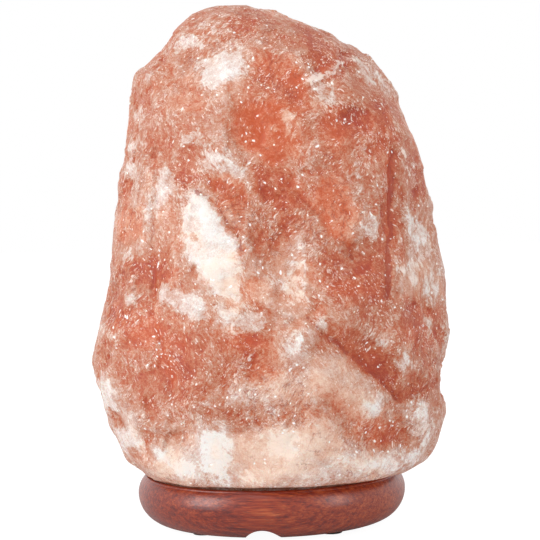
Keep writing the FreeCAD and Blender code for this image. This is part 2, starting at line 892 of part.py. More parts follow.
# ---------------------------------------------------------------- all nodes
def make_nodes():
    nodes = {
        "salt_crystal": make_crystal(),
        "wooden_base": make_base(),
        "crystal_screws": Part.makeCompound([salt_screw(angle) for angle in salt_screw_angles]),
        "holder_cap": make_cap(),
        "holder_sleeve": make_sleeve(),
        "holder_ring_nut": make_ring_nut(),
        "clip_plate": make_clip_plate(),
        "clip_wing_left": make_wing("left"),
        "clip_wing_right": make_wing("right"),
        "cord_bush": make_bush(),
        "contact_block": make_contact_block(),
        "thread_shell": make_shell(),
        "centre_contact": make_centre_contact(),
        "side_contact": make_side_contact(),
        "terminal_screws": make_terminal_screws(),
        "bulb_tip": make_bulb_tip(),
        "bulb_insulator": make_bulb_insulator(),
        "bulb_cap": make_bulb_cap(),
        "bulb_glass": make_bulb_glass(),
        "bulb_stem": make_bulb_stem(),
        "bulb_lead_wires": make_lead_wires(),
        "bulb_filament": make_filament(),
    }
    nodes.update(make_pads())
    return nodes


os.makedirs("parts", exist_ok=True)
for node_name, node_shape in make_nodes().items():
    node_shape.exportStep("parts/" + node_name + ".step")
    print(node_name, "valid" if node_shape.isValid() else "NOT VALID", round(node_shape.Volume, 1))
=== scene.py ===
"""Looks of the salt crystal lamp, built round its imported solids. Metres, +Z up, front at -Y."""

import math

import bmesh
import bpy
import numpy as np
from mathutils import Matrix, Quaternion, Vector, kdtree, noise


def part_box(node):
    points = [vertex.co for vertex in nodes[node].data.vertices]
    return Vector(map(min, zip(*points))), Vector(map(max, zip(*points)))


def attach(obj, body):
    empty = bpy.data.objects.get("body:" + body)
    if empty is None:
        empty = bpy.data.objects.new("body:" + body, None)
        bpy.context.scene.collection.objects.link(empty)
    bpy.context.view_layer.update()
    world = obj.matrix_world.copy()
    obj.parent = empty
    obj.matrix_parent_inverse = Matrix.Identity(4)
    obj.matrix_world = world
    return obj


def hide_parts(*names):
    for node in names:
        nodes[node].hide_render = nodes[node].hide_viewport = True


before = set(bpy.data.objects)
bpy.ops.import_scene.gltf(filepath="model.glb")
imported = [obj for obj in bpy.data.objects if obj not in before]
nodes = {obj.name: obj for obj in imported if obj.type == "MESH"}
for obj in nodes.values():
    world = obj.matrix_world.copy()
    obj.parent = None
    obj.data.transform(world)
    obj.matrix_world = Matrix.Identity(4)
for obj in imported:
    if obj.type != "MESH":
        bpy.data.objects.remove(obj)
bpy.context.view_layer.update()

MM = 0.001
UP = Vector((0, 0, 1))


# ---------------------------------------------------------------- camera
# The lamp is seen a little from the right and from above; the picture is 540 pixels square.
camera_turn = math.radians(4.8)
camera_rise = math.radians(4.66)
camera_roll = math.radians(1.39)
camera_distance = 1.1
camera_focal_px = 2585.5
picture_px = 540
look_at = Vector((0, 0, 0.1083))
look_at_px = Vector((266.5, 270))


def place_camera():
    data = bpy.data.cameras.new("camera")
    data.sensor_width = 36
    data.lens = camera_focal_px / picture_px * data.sensor_width
    data.shift_x = (picture_px / 2 - look_at_px.x) / picture_px
    data.clip_start, data.clip_end = 0.05, 20
    camera = bpy.data.objects.new("camera", data)
    bpy.context.scene.collection.objects.link(camera)
    level = math.cos(camera_rise)
    right, back = math.sin(camera_turn) * level, -math.cos(camera_turn) * level
    away = Vector((right, back, math.sin(camera_rise)))
    camera.location = look_at + away * camera_distance
    camera.rotation_mode = "QUATERNION"
    camera.rotation_quaternion = away.to_track_quat("Z", "Y") @ Quaternion(UP, -camera_roll)
    bpy.context.scene.camera = camera
    return camera


camera = place_camera()


def picture_places(points):
    """Where points of the lamp fall in the picture, in pixels from its top left corner."""
    turn = np.array(camera.rotation_quaternion.to_matrix())
    seen = (points - np.array(camera.location)) @ turn
    scale = camera_focal_px / -seen[:, 2]
    return np.stack([look_at_px.x + seen[:, 0] * scale, look_at_px.y - seen[:, 1] * scale], axis=1)


# ---------------------------------------------------------------- shader maths
class Flow:
    """An output of a node. Sums and products of it add their Math nodes."""

    def __init__(self, shop, socket):
        self.shop, self.socket = shop, socket

    def maths(self, operation, *others):
        values = dict(enumerate((self, *others)))
        return self.shop.node("ShaderNodeMath", values, operation=operation)

    def __add__(self, other):
        return self.maths("ADD", other)

    __radd__ = __add__

    def __mul__(self, other):
        return self.maths("MULTIPLY", other)

    def __sub__(self, other):
        return self.maths("SUBTRACT", other)

    def __rsub__(self, other):
        return self.shop.node("ShaderNodeMath", {0: other, 1: self}, operation="SUBTRACT")

    def highest(self, other):
        return self.maths("MAXIMUM", other)

    def lowest(self, other):
        return self.maths("MINIMUM", other)

    def clear(self):
        """Kept between 0 and 1."""
        return self.highest(0.0).lowest(1.0)

    def line(self, middle, width):
        """Thin wandering lines: 1 where the value crosses middle, 0 further than width from it."""
        return 1.0 - (self - middle).maths("ABSOLUTE").steps(0.0, width)

    def steps(self, low, high):
        """0 below low, 1 above high and a smooth slope between them."""
        values = {"Value": self, "From Min": low, "From Max": high}
        return self.shop.node("ShaderNodeMapRange", values, interpolation_type="SMOOTHSTEP")


class Finish:
    """A material, with the nodes that paint it."""

    def __init__(self, name, **constants):
        self.material = bpy.data.materials.new(name)
        self.material.use_nodes = True
        self.tree = self.material.node_tree
        self.shader = self.tree.nodes["Principled BSDF"]
        for socket, value in constants.items():
            label = socket.replace("_", " ").title().replace("Ior", "IOR")
            self.shader.inputs[label].default_value = value

    def node(self, kind, values=None, output=0, stops=None, **settings):
        made = self.tree.nodes.new(kind)
        for name, value in settings.items():
            setattr(made, name, value)
        if stops:
            ramp = made.color_ramp
            while len(ramp.elements) < len(stops):
                ramp.elements.new(0.5)
            for element, (place, colour) in zip(ramp.elements, stops):
                element.position, element.color = place, colour
        for name, value in (values or {}).items():
            if isinstance(value, Flow):
                self.tree.links.new(value.socket, made.inputs[name])
            else:
                made.inputs[name].default_value = value
        return Flow(self, made.outputs[output])

    def feed(self, **flows):
        for socket, flow in flows.items():
            self.tree.links.new(flow.socket, self.shader.inputs[socket.replace("_", " ").title()])

    def place(self):
        return self.node("ShaderNodeTexCoord", output="Object")

    def stretched(self, place, lengths, lean=0.0):
        """The place for a pattern with marks of these lengths in mm, leaning so far about Y."""
        values = {"Vector": place, "Rotation": (0, math.radians(lean), 0)}
        values["Scale"] = tuple(length * MM for length in lengths)
        return self.node("ShaderNodeMapping", values, vector_type="TEXTURE")

    def noise(self, place, scale, detail=4.0, roughness=0.5, distortion=0.0):
        values = {"Vector": place, "Scale": scale, "Detail": detail}
        values.update({"Roughness": roughness, "Distortion": distortion})
        return self.node("ShaderNodeTexNoise", values)

    def warped(self, place, scale, reach):
        """The place, pushed about by a noise of its own."""
        values = {"Vector": place, "Scale": scale, "Detail": 3.0}
        push = self.node("ShaderNodeTexNoise", values, output="Color")
        push = self.vector("SUBTRACT", push, (0.5, 0.5, 0.5))
        return self.vector("MULTIPLY_ADD", push, (reach,) * 3, place)

    def vector(self, operation, *values):
        return self.node("ShaderNodeVectorMath", dict(enumerate(values)), operation=operation)

    def cells(self, place, scale, output="Distance"):
        """How far the nearest of many seeds is, or with "Color" that seed's own random tone."""
        return self.node("ShaderNodeTexVoronoi", {"Vector": place, "Scale": scale}, output=output)

    def mixed(self, share, low, high):
        return self.node("ShaderNodeMix", {0: share, 6: low, 7: high}, output=2, data_type="RGBA")

    def mixed_values(self, share, low, high):
        return self.node("ShaderNodeMix", {0: share, 2: low, 3: high}, data_type="FLOAT")

    def ramp(self, share, *stops):
        return self.node("ShaderNodeValToRGB", {0: share}, stops=stops, output="Color")

    def attribute(self, name):
        return self.node("ShaderNodeAttribute", attribute_name=name, output="Fac")

    def bump(self, height, distance):
        values = {"Height": height, "Distance": distance, "Strength": 1.0}
        return self.node("ShaderNodeBump", values)


def paint(red, green, blue):
    """A colour as it looks on a screen, 0 to 255, as the linear one that shaders use."""

    def linear(value):
        value /= 255
        return value / 12.92 if value <= 0.04045 else ((value + 0.055) / 1.055) ** 2.4

    return (linear(red), linear(green), linear(blue), 1.0)


# ---------------------------------------------------------------- mesh helpers
made_weld = 1e-7  # metres: points of a made mesh nearer than this are one
packed_weld = 1e-6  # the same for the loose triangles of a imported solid
near_axis = 0.01 * MM  # where spun outlines begin and end, so that no face is without area


def piece(name, mesh, finish, body, stands_for=()):
    """A finished piece: its object at the origin, with a finish, riding on its body."""
    thing = bpy.data.objects.new(name, mesh)
    bpy.context.scene.collection.objects.link(thing)
    mesh.materials.clear()
    mesh.materials.append(finish.material)
    mesh.polygons.foreach_set("use_smooth", [True] * len(mesh.polygons))
    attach(thing, body)
    if stands_for:
        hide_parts(*stands_for)
    return thing


def mesh_of(bm, name):
    bmesh.ops.remove_doubles(bm, verts=bm.verts, dist=made_weld)
    bmesh.ops.recalc_face_normals(bm, faces=bm.faces)
    mesh = bpy.data.meshes.new(name)
    bm.to_mesh(mesh)
    bm.free()
    return mesh


def merged_copy(node):
    """A copy of a CAD node's mesh with its loose triangles joined."""
    mesh = nodes[node].data.copy()
    bm = bmesh.new()
    bm.from_mesh(mesh)
    bmesh.ops.remove_doubles(bm, verts=bm.verts, dist=packed_weld)
    bm.to_mesh(mesh)
    bm.free()
    return mesh


def spun(outline, steps):
    """A bmesh of an open outline of (radius, height) points, turned round the Z axis."""
    bm = bmesh.new()
    verts = [bm.verts.new((radius, 0, height)) for radius, height in outline]
    edges = [bm.edges.new(pair) for pair in zip(verts, verts[1:])]
    bmesh.ops.spin(
        bm,
        geom=verts + edges,
        cent=(0, 0, 0),
        axis=UP,
        angle=math.tau,
        steps=steps,
        use_merge=True,
        use_duplicate=False,
    )
    return bm


def wire(name, path, radius, sides=8):
    """A round wire along a path of points, with closed ends."""
    bm = bmesh.new()
    rings = []
    turns = [math.tau * side / sides for side in range(sides)]
    aside = Vector((0.3, 0.5, 0.8))
    for index, point in enumerate(path):
        ahead = (path[min(index + 1, len(path) - 1)] - path[max(index - 1, 0)]).normalized()
        aside = (aside - ahead * aside.dot(ahead)).normalized()
        third = ahead.cross(aside)
        ring = [point + (aside * math.cos(t) + third * math.sin(t)) * radius for t in turns]
        rings.append([bm.verts.new(place) for place in ring])
    for low, high in zip(rings, rings[1:]):
        for a, b, c, d in zip(low, low[1:] + low[:1], high[1:] + high[:1], high):
            bm.faces.new((a, b, c, d))
    bm.faces.new(rings[0])
    bm.faces.new(rings[-1])
    return mesh_of(bm, name)


# ---------------------------------------------------------------- the crystal's surface
voxel = 1.24 * MM

# What stays as it is, in mm: the bored middle, and the foot that stands in the dish of the base.
bore_reach, bore_top = 30.5, 114.0
foot_still, foot_fade = 2.0, 8.0

# How often the facets of the solid are eased before the chips are cut, and by what share.
ease_passes, ease_share = 7, 0.6

# Chips over the whole surface, in mm: spacing, tilt, hollowness, step and how far they stand up
# or down, then the lowest and highest that one may be as a multiple of that.
chip_sizes = (
    (7.0, 0.12, 0.006, 0.25, 0.42),
    (3.3, 0.15, 0.015, 0.14, 0.24),
)
chip_lowest, chip_highest = -2.5, 2.0

# A chip's seed is this share of the spacing from the next, and this many chips meet at a place;
# the last limits how steeply one may lean.
seed_gap, chips_near, chip_slope = (0.55, 1.05), 7, 0.4

# Where the face turns away from the camera, the chips stand up more, for a rough outline; where it
# turns away further still, the marks of the front end.
flank_limit, flank_growth = 0.6, 0.9
front_limit = 0.25

# How raised a place is: smoothing passes over its neighbourhood, and the height in mm that is full.
ridge_scales = ((6, 0.35), (60, 1.4))

# Patches of the front as the picture shows them: strength, then corners in pixels of the picture.
white_patches = (
    # crown
    (0.75, (178, 38), (190, 31), (204, 36), (206, 47), (190, 52), (172, 58), (168, 52)),
    (0.85, (203, 58), (222, 50), (240, 52), (246, 62), (240, 75), (225, 80), (212, 92), (203, 94),
     (199, 76)),
    (0.65, (142, 71), (166, 64), (163, 78), (150, 83), (141, 80)),
    (0.85, (343, 57), (358, 60), (374, 70), (388, 83), (374, 79), (355, 68)),
    (0.70, (200, 20), (214, 22), (240, 20), (246, 25), (224, 28), (204, 27)),
    (0.60, (252, 22), (268, 25), (262, 31), (254, 28)),
    (0.75, (308, 32), (318, 35), (322, 41), (312, 39)),
    (0.60, (306, 88), (322, 84), (336, 92), (332, 104), (318, 98), (308, 96)),
    # upper left
    (0.90, (280, 108), (288, 111), (295, 117), (286, 120), (280, 118)),
    (0.95, (284, 125), (292, 129), (296, 138), (288, 135)),
    (0.60, (170, 113), (190, 114), (199, 118), (184, 122)),
    (0.75, (180, 131), (200, 129), (204, 141), (192, 139), (178, 147)),
    (0.70, (130, 112), (142, 110), (140, 120), (131, 119)),
    (0.75, (128, 138), (136, 142), (140, 150), (130, 151)),
    (0.75, (202, 149), (222, 150), (240, 162), (248, 178), (236, 182), (222, 173), (204, 167)),
    (0.70, (150, 192), (156, 174), (164, 157), (171, 174), (177, 182), (178, 197), (166, 198),
     (155, 213), (148, 226), (146, 206)),
    (0.65, (118, 158), (130, 160), (140, 166), (136, 178), (122, 172)),
    # the pale slab and the streak under it
    (0.90, (195, 193), (206, 197), (222, 221), (240, 246), (234, 258), (212, 250), (196, 240),
     (184, 228), (187, 208)),
    (0.80, (184, 236), (212, 246), (228, 254), (238, 276), (246, 298), (234, 302), (218, 294),
     (196, 272), (186, 254)),
    (1.00, (160, 284), (176, 290), (192, 291), (205, 299), (205, 317), (197, 321), (186, 312),
     (170, 305), (160, 297)),
    (0.85, (243, 308), (262, 314), (273, 322), (262, 333), (250, 337), (236, 325)),
    (0.60, (206, 300), (222, 304), (240, 312), (236, 326), (214, 318)),
    # left edge
    (0.75, (118, 255), (128, 249), (134, 261), (124, 268)),
    (0.55, (116, 283), (136, 290), (152, 301), (128, 303)),
    (0.60, (102, 322), (114, 330), (116, 345), (104, 340)),
    # middle
    (0.45, (262, 276), (285, 262), (300, 240), (307, 262), (311, 300), (306, 330), (296, 326),
     (280, 318), (268, 296)),
    (0.80, (286, 339), (300, 333), (306, 351), (294, 357), (284, 350)),
    (0.70, (210, 341), (226, 340), (220, 347)),
    (0.50, (340, 148), (352, 152), (362, 168), (372, 186), (360, 184), (346, 168)),
    (0.50, (370, 214), (382, 222), (378, 242), (366, 238), (360, 226)),
    (0.85, (268, 263), (275, 266), (274, 272), (267, 269)),
    (0.90, (316, 324), (325, 323), (327, 331), (318, 333)),
    (0.75, (372, 338), (384, 338), (386, 345), (374, 345)),
    # right rib
    (0.60, (402, 207), (414, 214), (426, 226), (431, 238), (420, 249), (408, 240), (404, 225)),
    (0.40, (396, 268), (412, 254), (432, 252), (442, 268), (444, 290), (430, 302), (412, 298),
     (398, 286)),
    (0.55, (400, 178), (408, 186), (412, 200), (404, 198)),
    (0.55, (424, 318), (446, 318), (447, 340), (430, 334)),
    (0.95, (398, 352), (408, 355), (409, 366), (400, 368)),
    (0.90, (364, 402), (380, 401), (379, 410), (369, 412)),
    (0.65, (408, 410), (426, 404), (434, 412), (420, 421)),
    (0.80, (402, 456), (418, 450), (430, 436), (434, 424), (430, 446), (419, 462), (405, 469)),
    # foot
    (0.85, (97, 376), (106, 380), (112, 398), (117, 416), (106, 409), (100, 395)),
    (0.80, (110, 424), (130, 430), (143, 440), (141, 453), (125, 447), (114, 438)),
    (0.90, (150, 448), (166, 452), (169, 460), (156, 460)),
    (0.55, (162, 456), (196, 462), (206, 479), (178, 477)),
    (0.60, (200, 430), (222, 427), (233, 440), (238, 462), (230, 481), (214, 484), (204, 478),
     (196, 462)),
    (0.40, (234, 463), (262, 470), (290, 468), (320, 474), (322, 483), (250, 488), (220, 486)),
    (0.50, (254, 440), (286, 431), (306, 440), (299, 458), (270, 463), (256, 454)),
    (0.50, (314, 456), (342, 450), (352, 466), (330, 473), (318, 470)),
    (0.45, (354, 462), (396, 462), (398, 470), (356, 474)),
)
# Deep red salt, with painted shade: darker red in the creases and under the overhangs of the front.
red_and_shade_patches = (
    (1.10, (225, 18), (250, 11), (263, 20), (256, 35), (232, 43), (214, 36)),
    (0.85, (250, 48), (288, 56), (306, 76), (303, 120), (300, 150), (270, 162), (248, 150),
     (230, 122), (240, 96), (256, 80)),
    (1.20, (298, 24), (330, 40), (352, 56), (346, 70), (322, 76), (306, 62)),
    (0.90, (322, 120), (345, 104), (388, 104), (398, 142), (360, 152), (328, 144)),
    (0.80, (244, 164), (272, 166), (302, 188), (305, 206), (286, 214), (262, 198)),
    (0.75, (306, 176), (345, 180), (354, 215), (348, 248), (330, 238), (312, 204)),
    (1.00, (288, 211), (297, 221), (292, 233), (281, 226)),
    (0.80, (300, 252), (345, 256), (386, 260), (390, 300), (345, 302), (308, 286)),
    (1.00, (387, 158), (396, 158), (399, 220), (397, 292), (388, 298), (383, 240)),
    (0.90, (322, 322), (352, 334), (388, 360), (402, 398), (382, 392), (350, 358)),
    (0.85, (222, 168), (246, 184), (242, 202), (214, 190)),
    (0.75, (104, 298), (140, 305), (162, 330), (150, 352), (108, 347)),
    (0.65, (158, 328), (186, 340), (196, 380), (190, 422), (168, 402), (156, 360)),
    (0.65, (214, 334), (276, 340), (264, 382), (228, 386)),
    (0.25, (203, 396), (290, 390), (312, 420), (282, 432), (212, 422)),
    (0.45, (310, 430), (342, 436), (346, 464), (318, 468)),
    (0.80, (354, 414), (402, 420), (412, 442), (376, 446), (356, 432)),
    (0.75, (398, 300), (442, 308), (440, 346), (404, 348)),
    (0.70, (120, 204), (146, 204), (144, 236), (120, 246)),
    (0.70, (120, 262), (160, 256), (182, 280), (158, 284), (128, 280)),
    (0.80, (112, 178), (130, 182), (126, 200), (114, 202)),
    (0.75, (176, 172), (196, 176), (192, 192), (178, 196)),
    (0.65, (404, 376), (440, 372), (442, 404), (410, 402)),
    (0.70, (408, 140), (424, 160), (428, 196), (414, 190)),
)
# Paler salt, with painted light: brighter places where light from below and through the salt falls,
# most of all round the foot.
pale_and_lit_patches = (
    (0.60, (168, 60), (204, 48), (248, 48), (250, 92), (222, 108), (236, 140), (212, 146),
     (196, 112), (176, 96)),
    (0.60, (118, 208), (150, 176), (182, 206), (182, 250), (150, 258), (116, 250)),
    (0.85, (180, 196), (212, 190), (246, 244), (256, 306), (232, 336), (196, 312), (176, 270)),
    (0.70, (250, 262), (300, 236), (318, 270), (314, 330), (318, 372), (290, 384), (272, 330),
     (254, 300)),
    (1.00, (300, 344), (350, 352), (384, 396), (392, 416), (352, 420), (332, 400), (300, 396)),
    (1.50, (196, 424), (250, 432), (330, 424), (352, 446), (402, 448), (400, 474), (250, 489),
     (150, 477), (160, 440)),
    (0.70, (96, 372), (136, 392), (150, 430), (150, 476), (112, 430)),
    (1.00, (240, 372), (318, 376), (330, 402), (270, 412), (212, 400)),
    (0.65, (396, 206), (434, 214), (446, 300), (400, 306), (392, 262)),
    (0.60, (400, 402), (444, 396), (438, 440), (410, 470), (398, 444)),
    (0.50, (200, 146), (250, 158), (256, 196), (226, 190), (200, 172)),
)
smooth_patches = (
    (1.00, (322, 172), (350, 180), (360, 214), (350, 250), (326, 236), (308, 200)),
    (0.90, (232, 104), (300, 108), (300, 156), (262, 166), (226, 140)),
    (0.90, (186, 204), (206, 198), (238, 246), (240, 292), (212, 290), (186, 246)),
    (0.80, (276, 262), (302, 244), (310, 300), (304, 330), (284, 306)),
    (0.80, (396, 262), (436, 254), (446, 296), (400, 300)),
    (0.60, (306, 356), (350, 360), (376, 400), (352, 416), (310, 396)),
    (0.70, (212, 432), (330, 428), (350, 470), (250, 486), (206, 480)),
    (0.60, (120, 210), (148, 208), (150, 250), (120, 254)),
    (0.60, (203, 58), (242, 52), (244, 76), (210, 90)),
)

# How far the patches fade out, in pixels: their own edge, and the haze round them.
patch_edge, mist_edge = 4.6, 13.0

# Creases and ridges that run across the front: points in the picture, half width, depth in mm.
# The finish paints shade along the creases and highlights along the ridges.
creases = (
    (((198, 190), (210, 200), (224, 214), (236, 232), (242, 248)), 3.0, 1.1),
    (((392, 150), (394, 190), (391, 230), (388, 262), (386, 296)), 3.5, 1.2),
    (((304, 318), (326, 334), (350, 354), (372, 374), (398, 398)), 3.5, 1.0),
    (((300, 196), (318, 214), (334, 238), (352, 256)), 3.0, 0.7),
    (((152, 150), (156, 190), (150, 240), (154, 300)), 4.0, 0.7),
    (((150, 300), (158, 330), (166, 360), (170, 400)), 3.5, 0.7),
    (((244, 300), (262, 306), (280, 318)), 3.0, 0.8),
)
ridges = (
    (((302, 84), (322, 74), (345, 60), (362, 62), (392, 84)), 4.0, 0.8),
    (((184, 232), (190, 206), (198, 194)), 3.5, 0.7),
    (((300, 240), (306, 270), (308, 300), (300, 350)), 5.0, 0.7),
    (((404, 150), (408, 190), (404, 240), (400, 300)), 3.5, 0.7),
    (((396, 258), (408, 252), (424, 240), (438, 226)), 2.5, 0.5),
    (((384, 302), (391, 280), (398, 262)), 2.5, 0.5),
    (((346, 396), (362, 402), (384, 412), (402, 426)), 2.5, 0.5),
)

# Noise that pushes the outlines of marks about, in wide swings and in small ones: how fine it is
# in waves per mm, how far it reaches in pixels, or mm for the sides, and its seed.
mark_swing, mark_fray = (0.12, 6.0, 1), (0.4, 4.0, 2)
line_swing, crease_shade_fray, ridge_highlight_fray = (0.12, 5.0, 4), (0.5, 3.0, 5), (0.5, 3.0, 6)
side_swing = (0.06, 9.0, 3)

# The random marks of the sides and the back: how many, and the least and greatest reach in mm.
side_marks = {
    "white": (150, (5, 20)),
    "red": (75, (9, 24)),
    "pale": (50, (18, 36)),
    "smooth": (37, (12, 26)),
}
side_strength = 0.8


def far_from_run(seen, start, run):
    """How far places of the picture are from the straight run that leaves start."""
    share = np.clip(((seen - start) @ run) / (run @ run), 0, 1)
    return np.linalg.norm(seen - start - share[:, None] * run, axis=1)


def patches_field(seen, patches, margin=patch_edge):
    """How strongly the patches cover each place of the picture, 0 to 1."""
    field = np.zeros(len(seen))
    for strength, *corners in patches:
        corners = np.array(corners, float)
        inside = np.zeros(len(seen), bool)
        edge = np.full(len(seen), 1e9)
        for a, b in zip(corners, np.roll(corners, -1, axis=0)):
            run = b - a
            edge = np.minimum(edge, far_from_run(seen, a, run))
            crosses = (a[1] > seen[:, 1]) != (b[1] > seen[:, 1])
            inside ^= crosses & (seen[:, 0] < a[0] + (seen[:, 1] - a[1]) * run[0] / (run[1] or 1.0))
        depth = np.where(inside, edge, -edge) / margin
        field = np.maximum(field, strength * np.clip(0.5 + 0.5 * depth, 0, 1))
    return field


def line_field(seen, lines):
    """Depth in mm of the lines at each place of the picture; it fades away from them."""
    field = np.zeros(len(seen))
    for points, half_width, depth in lines:
        points = np.array(points, float)
        nearest = np.full(len(seen), 1e9)
        for a, b in zip(points, points[1:]):
            nearest = np.minimum(nearest, far_from_run(seen, a, b - a))
        field = np.maximum(field, depth * np.exp(-((nearest / half_width) ** 2)))
    return field


def wander(places, scale, reach, seed):
    """A smooth random push for each place, for ragged outlines."""
    shifts = [Vector((seed + 31.7 * axis, 2.7 * seed, -seed)) for axis in range(3)]
    pushes = [[noise.noise(Vector(place) * scale + shift) for shift in shifts] for place in places]
    return np.array(pushes) * reach


def side_field(places, chance, count, sizes):
    """Random round patches, in mm, spread over a block of stone."""
    field = np.zeros(len(places))
    low, high = places.min(0), places.max(0)
    for _ in range(count):
        centre = chance.uniform(low, high)
        size = chance.uniform(*sizes, 3)
        offset = (places - centre) / size
        field = np.maximum(field, chance.uniform(0.5, 1.0) * np.exp(-((offset**2).sum(1))))
    return field


def neighbours_mean(values, edges, count):
    """The mean of each vertex's neighbours."""
    total = np.zeros_like(values)
    ways = np.zeros(count)
    for here, there in ((0, 1), (1, 0)):
        for axis in range(values.shape[1]):
            total[:, axis] += np.bincount(edges[:, here], values[edges[:, there], axis], count)
        ways += np.bincount(edges[:, here], minlength=count)
    return total / ways[:, None]


def chip_heights(places, normals, chance, spacing, tilt, hollow, step):
    """Height of a chipped surface over each place, in mm. Every chip is a tilted, slightly hollow
    face round its own seed, and the lowest of the chips near a place is the one that shows."""
    seeds = []
    taken = np.zeros(len(places), bool)
    tree = kdtree.KDTree(len(places))
    for index, place in enumerate(places):
        tree.insert(place, index)
    tree.balance()
    for index in chance.permutation(len(places)):
        if not taken[index]:
            seeds.append(index)
            for _, near, _ in tree.find_range(places[index], spacing * chance.uniform(*seed_gap)):
                taken[near] = True
    seeds = np.array(seeds)
    faces = normals[seeds] + chance.normal(0, tilt, (len(seeds), 3))
    faces /= np.linalg.norm(faces, axis=1)[:, None]
    lifts = chance.uniform(-step, step, len(seeds))
    tree = kdtree.KDTree(len(seeds))
    for number, index in enumerate(seeds):
        tree.insert(places[index], number)
    tree.balance()
    near = np.array([[found[1] for found in tree.find_n(place, chips_near)] for place in places])
    offset = places[seeds][near] - places[:, None]
    slope = np.maximum((faces[near] * normals[:, None]).sum(2), chip_slope)
    heights = (offset * faces[near]).sum(2) / slope + lifts[near]
    heights += hollow * (offset**2).sum(2)
    return heights.min(1)


def evened(node):
    """A copy of a CAD node's mesh, made anew of even faces about a voxel wide."""
    block = bpy.data.objects.new("block", merged_copy(node))
    bpy.context.scene.collection.objects.link(block)
    even = block.modifiers.new("even", "REMESH")
    even.mode, even.voxel_size, even.adaptivity = "VOXEL", voxel, 0
    graph = bpy.context.evaluated_depsgraph_get()
    mesh = bpy.data.meshes.new_from_object(block.evaluated_get(graph))
    bpy.data.objects.remove(block)
    return mesh


def rows_of(parts, key, width, kind=float):
    """One property of all vertices or edges, as the rows of an array."""
    values = np.empty(len(parts) * width, kind)
    parts.foreach_get(key, values)
    return values.reshape(-1, width)


def facing(places, normals):
    """How squarely each place faces the camera: 1 straight at it, 0 side on."""
    toward = np.array(camera.location) / MM - places
    toward /= np.linalg.norm(toward, axis=1)[:, None]
    return (normals * toward).sum(1)


def front_marks(places, seen, seen_lines, front):
    """The marks of the front, by name, as the picture shows them. Some hold painted shade (red
    marks, crease shade), painted light (pale marks) and painted highlights (ridge highlights).
    """
    ragged = seen + wander(places, *mark_swing)[:, :2]
    ragged += wander(places, *mark_fray)[:, :2]
    crease_shade_places = seen_lines + wander(places, *crease_shade_fray)[:, :2]
    ridge_highlight_places = seen_lines + wander(places, *ridge_highlight_fray)[:, :2]
    return {
        "white": patches_field(ragged, white_patches) * front,
        "mist": patches_field(ragged, white_patches, mist_edge) * front,
        "red": patches_field(ragged, red_and_shade_patches, mist_edge / 2) * front,
        "pale": patches_field(ragged, pale_and_lit_patches, mist_edge) * front,
        "smooth": patches_field(ragged, smooth_patches) * front,
        "crease_shade": line_field(crease_shade_places, creases) * front,
        "ridge_highlight": line_field(ridge_highlight_places, ridges) * front,
    }


def add_side_marks(marks, places, away, chance):
    """Random marks for the sides and the back, which the picture doesn't show."""
    loose = places + wander(places, *side_swing)
    for name, (count, sizes) in side_marks.items():
        marks[name] += away * side_field(loose, chance, count, sizes) * side_strength
    marks["mist"] += away * np.clip(marks["white"] * 1.2, 0, side_strength)


def hewn_crystal(finish):
    """The block with its chipped faces, and the marks that its finish reads."""
    chance = np.random.default_rng(11)
    mesh = evened("salt_crystal")
    count = len(mesh.vertices)
    places = rows_of(mesh.vertices, "co", 3) / MM
    edges = rows_of(mesh.edges, "vertices", 2, int)
    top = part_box("salt_crystal")[1].z / MM
    foot = places[:, 2].min()
    bore = (np.hypot(places[:, 0], places[:, 1]) < bore_reach) & (places[:, 2] < bore_top)
    skin = np.where(bore, 0.0, np.clip((places[:, 2] - foot - foot_still) / foot_fade, 0, 1))

    for _ in range(ease_passes):
        mean = neighbours_mean(places, edges, count)
        places += (mean - places) * (ease_share * skin)[:, None]

    def normals_now():
        mesh.vertices.foreach_set("co", (places * MM).ravel())
        mesh.update()
        return rows_of(mesh.vertices, "normal", 3)

    flank = 1 - np.clip(np.abs(facing(places, normals_now())) / flank_limit, 0, 1)
    for spacing, tilt, hollow, step, relief in chip_sizes:
        normals = normals_now()
        heights = chip_heights(places, normals, chance, spacing, tilt, hollow, step)
        heights -= np.median(heights[~bore])
        heights *= relief / heights[~bore].std()
        heights = np.clip(heights, chip_lowest * relief, chip_highest * relief)
        places += normals * (heights * skin * (1 + flank_growth * flank))[:, None]

    normals = normals_now()
    front = np.clip(facing(places, normals) / front_limit, 0, 1) * ~bore
    seen = picture_places(places * MM)
    seen_lines = seen + wander(places, *line_swing)[:, :2]
    carve = line_field(seen_lines, ridges) - line_field(seen_lines, creases)
    places += normals * (carve * front * skin)[:, None]
    places[:, 2] = np.minimum(places[:, 2], top)

    normals = normals_now()
    ridge = np.zeros(count)
    mean = places.copy()
    for passes, height in ridge_scales:
        for _ in range(passes):
            mean = neighbours_mean(mean, edges, count)
        ridge += 0.5 * np.clip(((places - mean) * normals).sum(1) / height, -1, 1)

    marks = front_marks(places, seen, seen_lines, front)
    add_side_marks(marks, places, 1 - front, chance)
    marks["ridge"] = ridge
    for name, values in marks.items():
        store = mesh.attributes.new(name, "FLOAT", "POINT")
        store.data.foreach_set("value", values.astype(np.float32))
    return piece("hewn_crystal", mesh, finish, "lamp_base", ["salt_crystal"])


